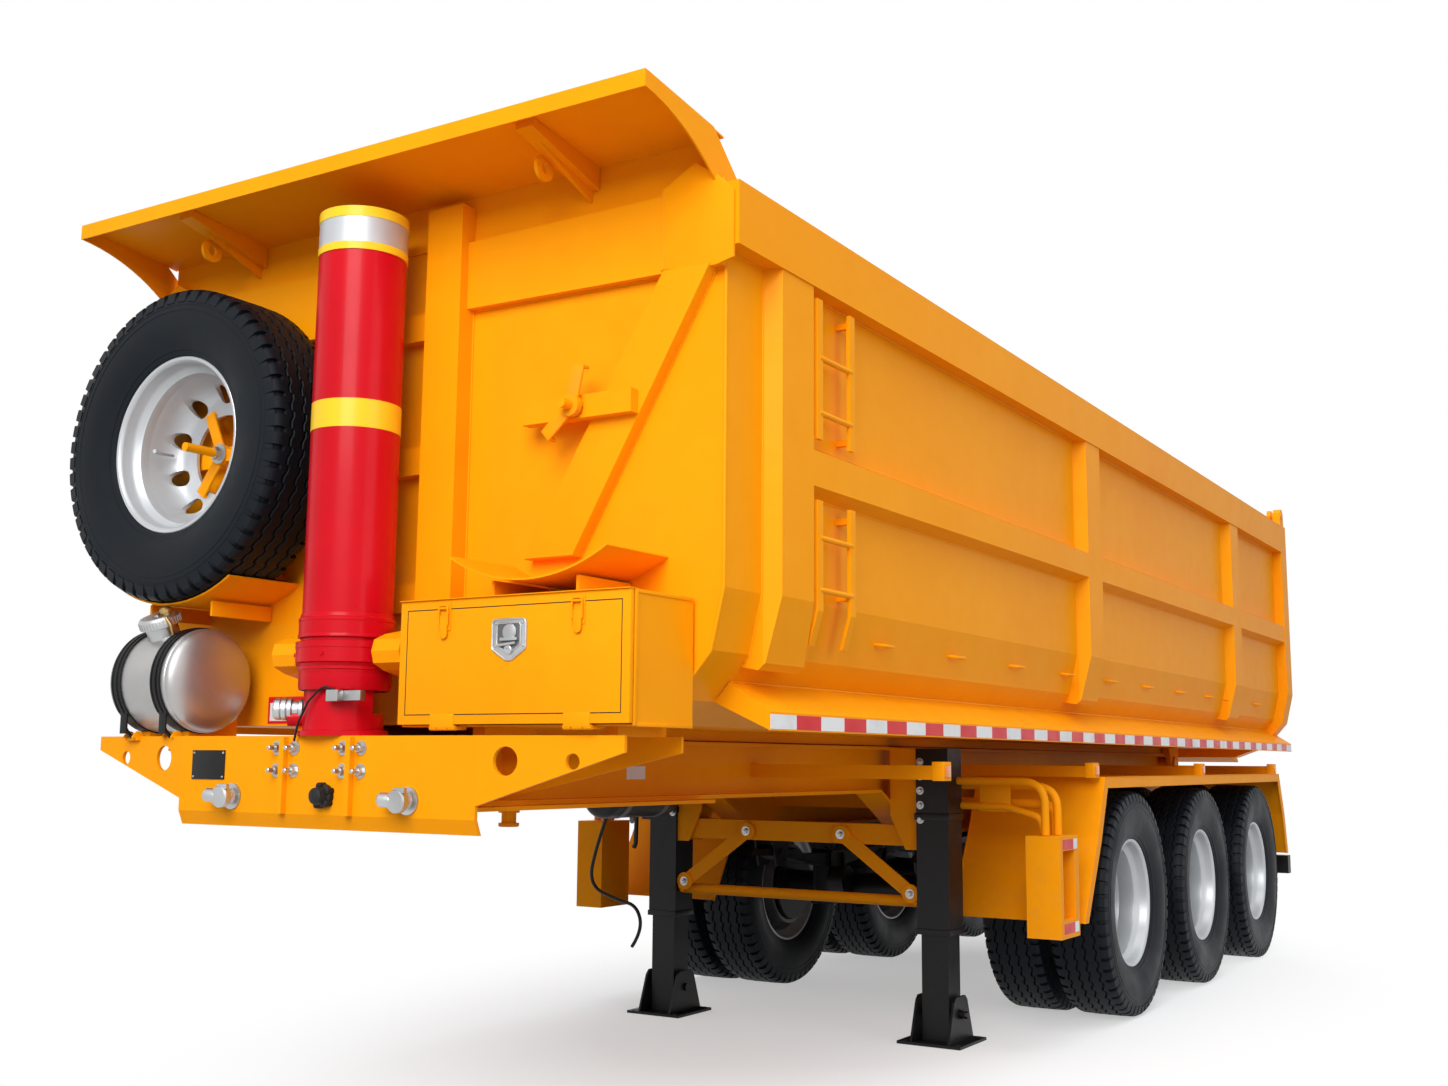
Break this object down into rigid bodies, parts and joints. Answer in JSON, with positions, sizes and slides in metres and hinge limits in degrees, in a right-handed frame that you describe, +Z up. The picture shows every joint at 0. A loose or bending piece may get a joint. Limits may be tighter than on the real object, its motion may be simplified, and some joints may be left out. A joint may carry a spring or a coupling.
{
  "type": "dump semi-trailer",
  "caption": "Three-axle dump semi-trailer with a round-cornered tub, front telescopic hoist, canopy, toolbox, tank, spare wheel, landing legs and a swinging tailgate.",
  "frame": {"origin": "on the ground, under the middle of the trailer's length and width", "axes": "+X to the front of the trailer, +Y to its left, +Z up"},
  "size_m": [8.1, 2.55, 3.03],
  "materials": {
    "yellow_paint": "glossy amber-yellow coat",
    "red_paint": "glossy red coat",
    "black_paint": "satin black coat",
    "wheel_silver": "silver wheel paint",
    "tyre_rubber": "matt black rubber",
    "black_rubber": "black rubber",
    "tank_metal": "brushed aluminium",
    "cast_grey": "dull grey casting",
    "red_lens": "red lens"
  },
  "bodies": {
    "chassis": {"chassis_frame": "yellow_paint", "front_plate": "yellow_paint", "couplings": "cast_grey", "coupler": "yellow_paint", "landing_legs": "black_paint", "leg_bracing": "yellow_paint", "axles": "black_paint", "suspension": "black_paint", "fenders": "yellow_paint", "lamp_arms": "yellow_paint", "side_guards": "yellow_paint", "rear_bumper": "black_paint", "lamps": "red_lens", "toolbox": "yellow_paint", "hydraulic_tank": "tank_metal", "tank_straps": "black_rubber", "hoist_pedestal": "red_paint", "air_tank": "black_paint", "air_valve": "black_paint", "air_hose": "black_rubber"},
    "dump_body": {"tub_shell": "yellow_paint", "top_rails": "yellow_paint", "side_ribs": "yellow_paint", "side_belts": "yellow_paint", "floor_runners": "yellow_paint", "side_aprons": "yellow_paint", "front_wall": "yellow_paint", "canopy": "yellow_paint", "ladder": "yellow_paint", "wheel_carriers": "yellow_paint", "spare_tyre": "tyre_rubber", "spare_rim": "wheel_silver", "rear_frame": "yellow_paint"},
    "tailgate": {"tailgate": "yellow_paint"},
    "toolbox_door": {"toolbox_door": "yellow_paint"},
    "hoist_barrel": {"hoist_barrel": "red_paint"},
    "hoist_stage_1": {"hoist_stage_1": "red_paint"},
    "hoist_stage_2": {"hoist_stage_2": "red_paint"},
    "hoist_stage_3": {"hoist_stage_3": "red_paint"},
    "hoist_stage_4": {"hoist_stage_4": "red_paint"},
    "hoist_stage_5": {"hoist_stage_5": "red_paint"},
    "wheel_1_left": {"tyres_1_left": "tyre_rubber", "wheel_1_left": "wheel_silver"},
    "wheel_1_right": {"tyres_1_right": "tyre_rubber", "wheel_1_right": "wheel_silver"},
    "wheel_2_left": {"tyres_2_left": "tyre_rubber", "wheel_2_left": "wheel_silver"},
    "wheel_2_right": {"tyres_2_right": "tyre_rubber", "wheel_2_right": "wheel_silver"},
    "wheel_3_left": {"tyres_3_left": "tyre_rubber", "wheel_3_left": "wheel_silver"},
    "wheel_3_right": {"tyres_3_right": "tyre_rubber", "wheel_3_right": "wheel_silver"}
  },
  "joints": [
    {"name": "body_tip", "type": "hinge", "parent": "chassis", "child": "dump_body", "pos_m": [-3.45, 0, 1.18], "axis": [0, -1, 0], "range_deg": [0, 45]},
    {"name": "tailgate_swing", "type": "hinge", "parent": "dump_body", "child": "tailgate", "pos_m": [-3.7, 0, 2.905], "axis": [0, 1, 0], "range_deg": [0, 80]},
    {"name": "toolbox_lid", "type": "hinge", "parent": "chassis", "child": "toolbox_door", "pos_m": [3.957, 0, 1.271], "axis": [0, 1, 0], "range_deg": [0, 90]},
    {"name": "hoist_swing", "type": "hinge", "parent": "dump_body", "child": "hoist_barrel", "pos_m": [3.875, 0, 1.5], "axis": [0, -1, 0], "range_deg": [-21, 0]},
    {"name": "hoist_slide_1", "type": "slide", "parent": "hoist_barrel", "child": "hoist_stage_1", "axis": [0, 0, -1], "range_m": [0, 1.125]},
    {"name": "hoist_slide_2", "type": "slide", "parent": "hoist_stage_1", "child": "hoist_stage_2", "axis": [0, 0, -1], "range_m": [0, 1.125]},
    {"name": "hoist_slide_3", "type": "slide", "parent": "hoist_stage_2", "child": "hoist_stage_3", "axis": [0, 0, -1], "range_m": [0, 1.125]},
    {"name": "hoist_slide_4", "type": "slide", "parent": "hoist_stage_3", "child": "hoist_stage_4", "axis": [0, 0, -1], "range_m": [0, 1.125]},
    {"name": "hoist_slide_5", "type": "slide", "parent": "hoist_stage_4", "child": "hoist_stage_5", "axis": [0, 0, -1], "range_m": [0, 1.125]},
    {"name": "wheel_1_left_spin", "type": "hinge", "parent": "chassis", "child": "wheel_1_left", "pos_m": [-0.13, 0, 0.527], "axis": [0, 1, 0], "continuous": true},
    {"name": "wheel_1_right_spin", "type": "hinge", "parent": "chassis", "child": "wheel_1_right", "pos_m": [-0.13, 0, 0.527], "axis": [0, 1, 0], "continuous": true},
    {"name": "wheel_2_left_spin", "type": "hinge", "parent": "chassis", "child": "wheel_2_left", "pos_m": [-1.44, 0, 0.527], "axis": [0, 1, 0], "continuous": true},
    {"name": "wheel_2_right_spin", "type": "hinge", "parent": "chassis", "child": "wheel_2_right", "pos_m": [-1.44, 0, 0.527], "axis": [0, 1, 0], "continuous": true},
    {"name": "wheel_3_left_spin", "type": "hinge", "parent": "chassis", "child": "wheel_3_left", "pos_m": [-2.75, 0, 0.527], "axis": [0, 1, 0], "continuous": true},
    {"name": "wheel_3_right_spin", "type": "hinge", "parent": "chassis", "child": "wheel_3_right", "pos_m": [-2.75, 0, 0.527], "axis": [0, 1, 0], "continuous": true}
  ],
  "couplings": [
    {"joint": "hoist_swing", "follows": "body_tip", "ratio": -0.45891},
    {"joint": "hoist_slide_1", "follows": "body_tip", "m_per_rad": 1.4254},
    {"joint": "hoist_slide_2", "follows": "body_tip", "m_per_rad": 1.4254},
    {"joint": "hoist_slide_3", "follows": "body_tip", "m_per_rad": 1.4254},
    {"joint": "hoist_slide_4", "follows": "body_tip", "m_per_rad": 1.4254},
    {"joint": "hoist_slide_5", "follows": "body_tip", "m_per_rad": 1.4254}
  ]
}
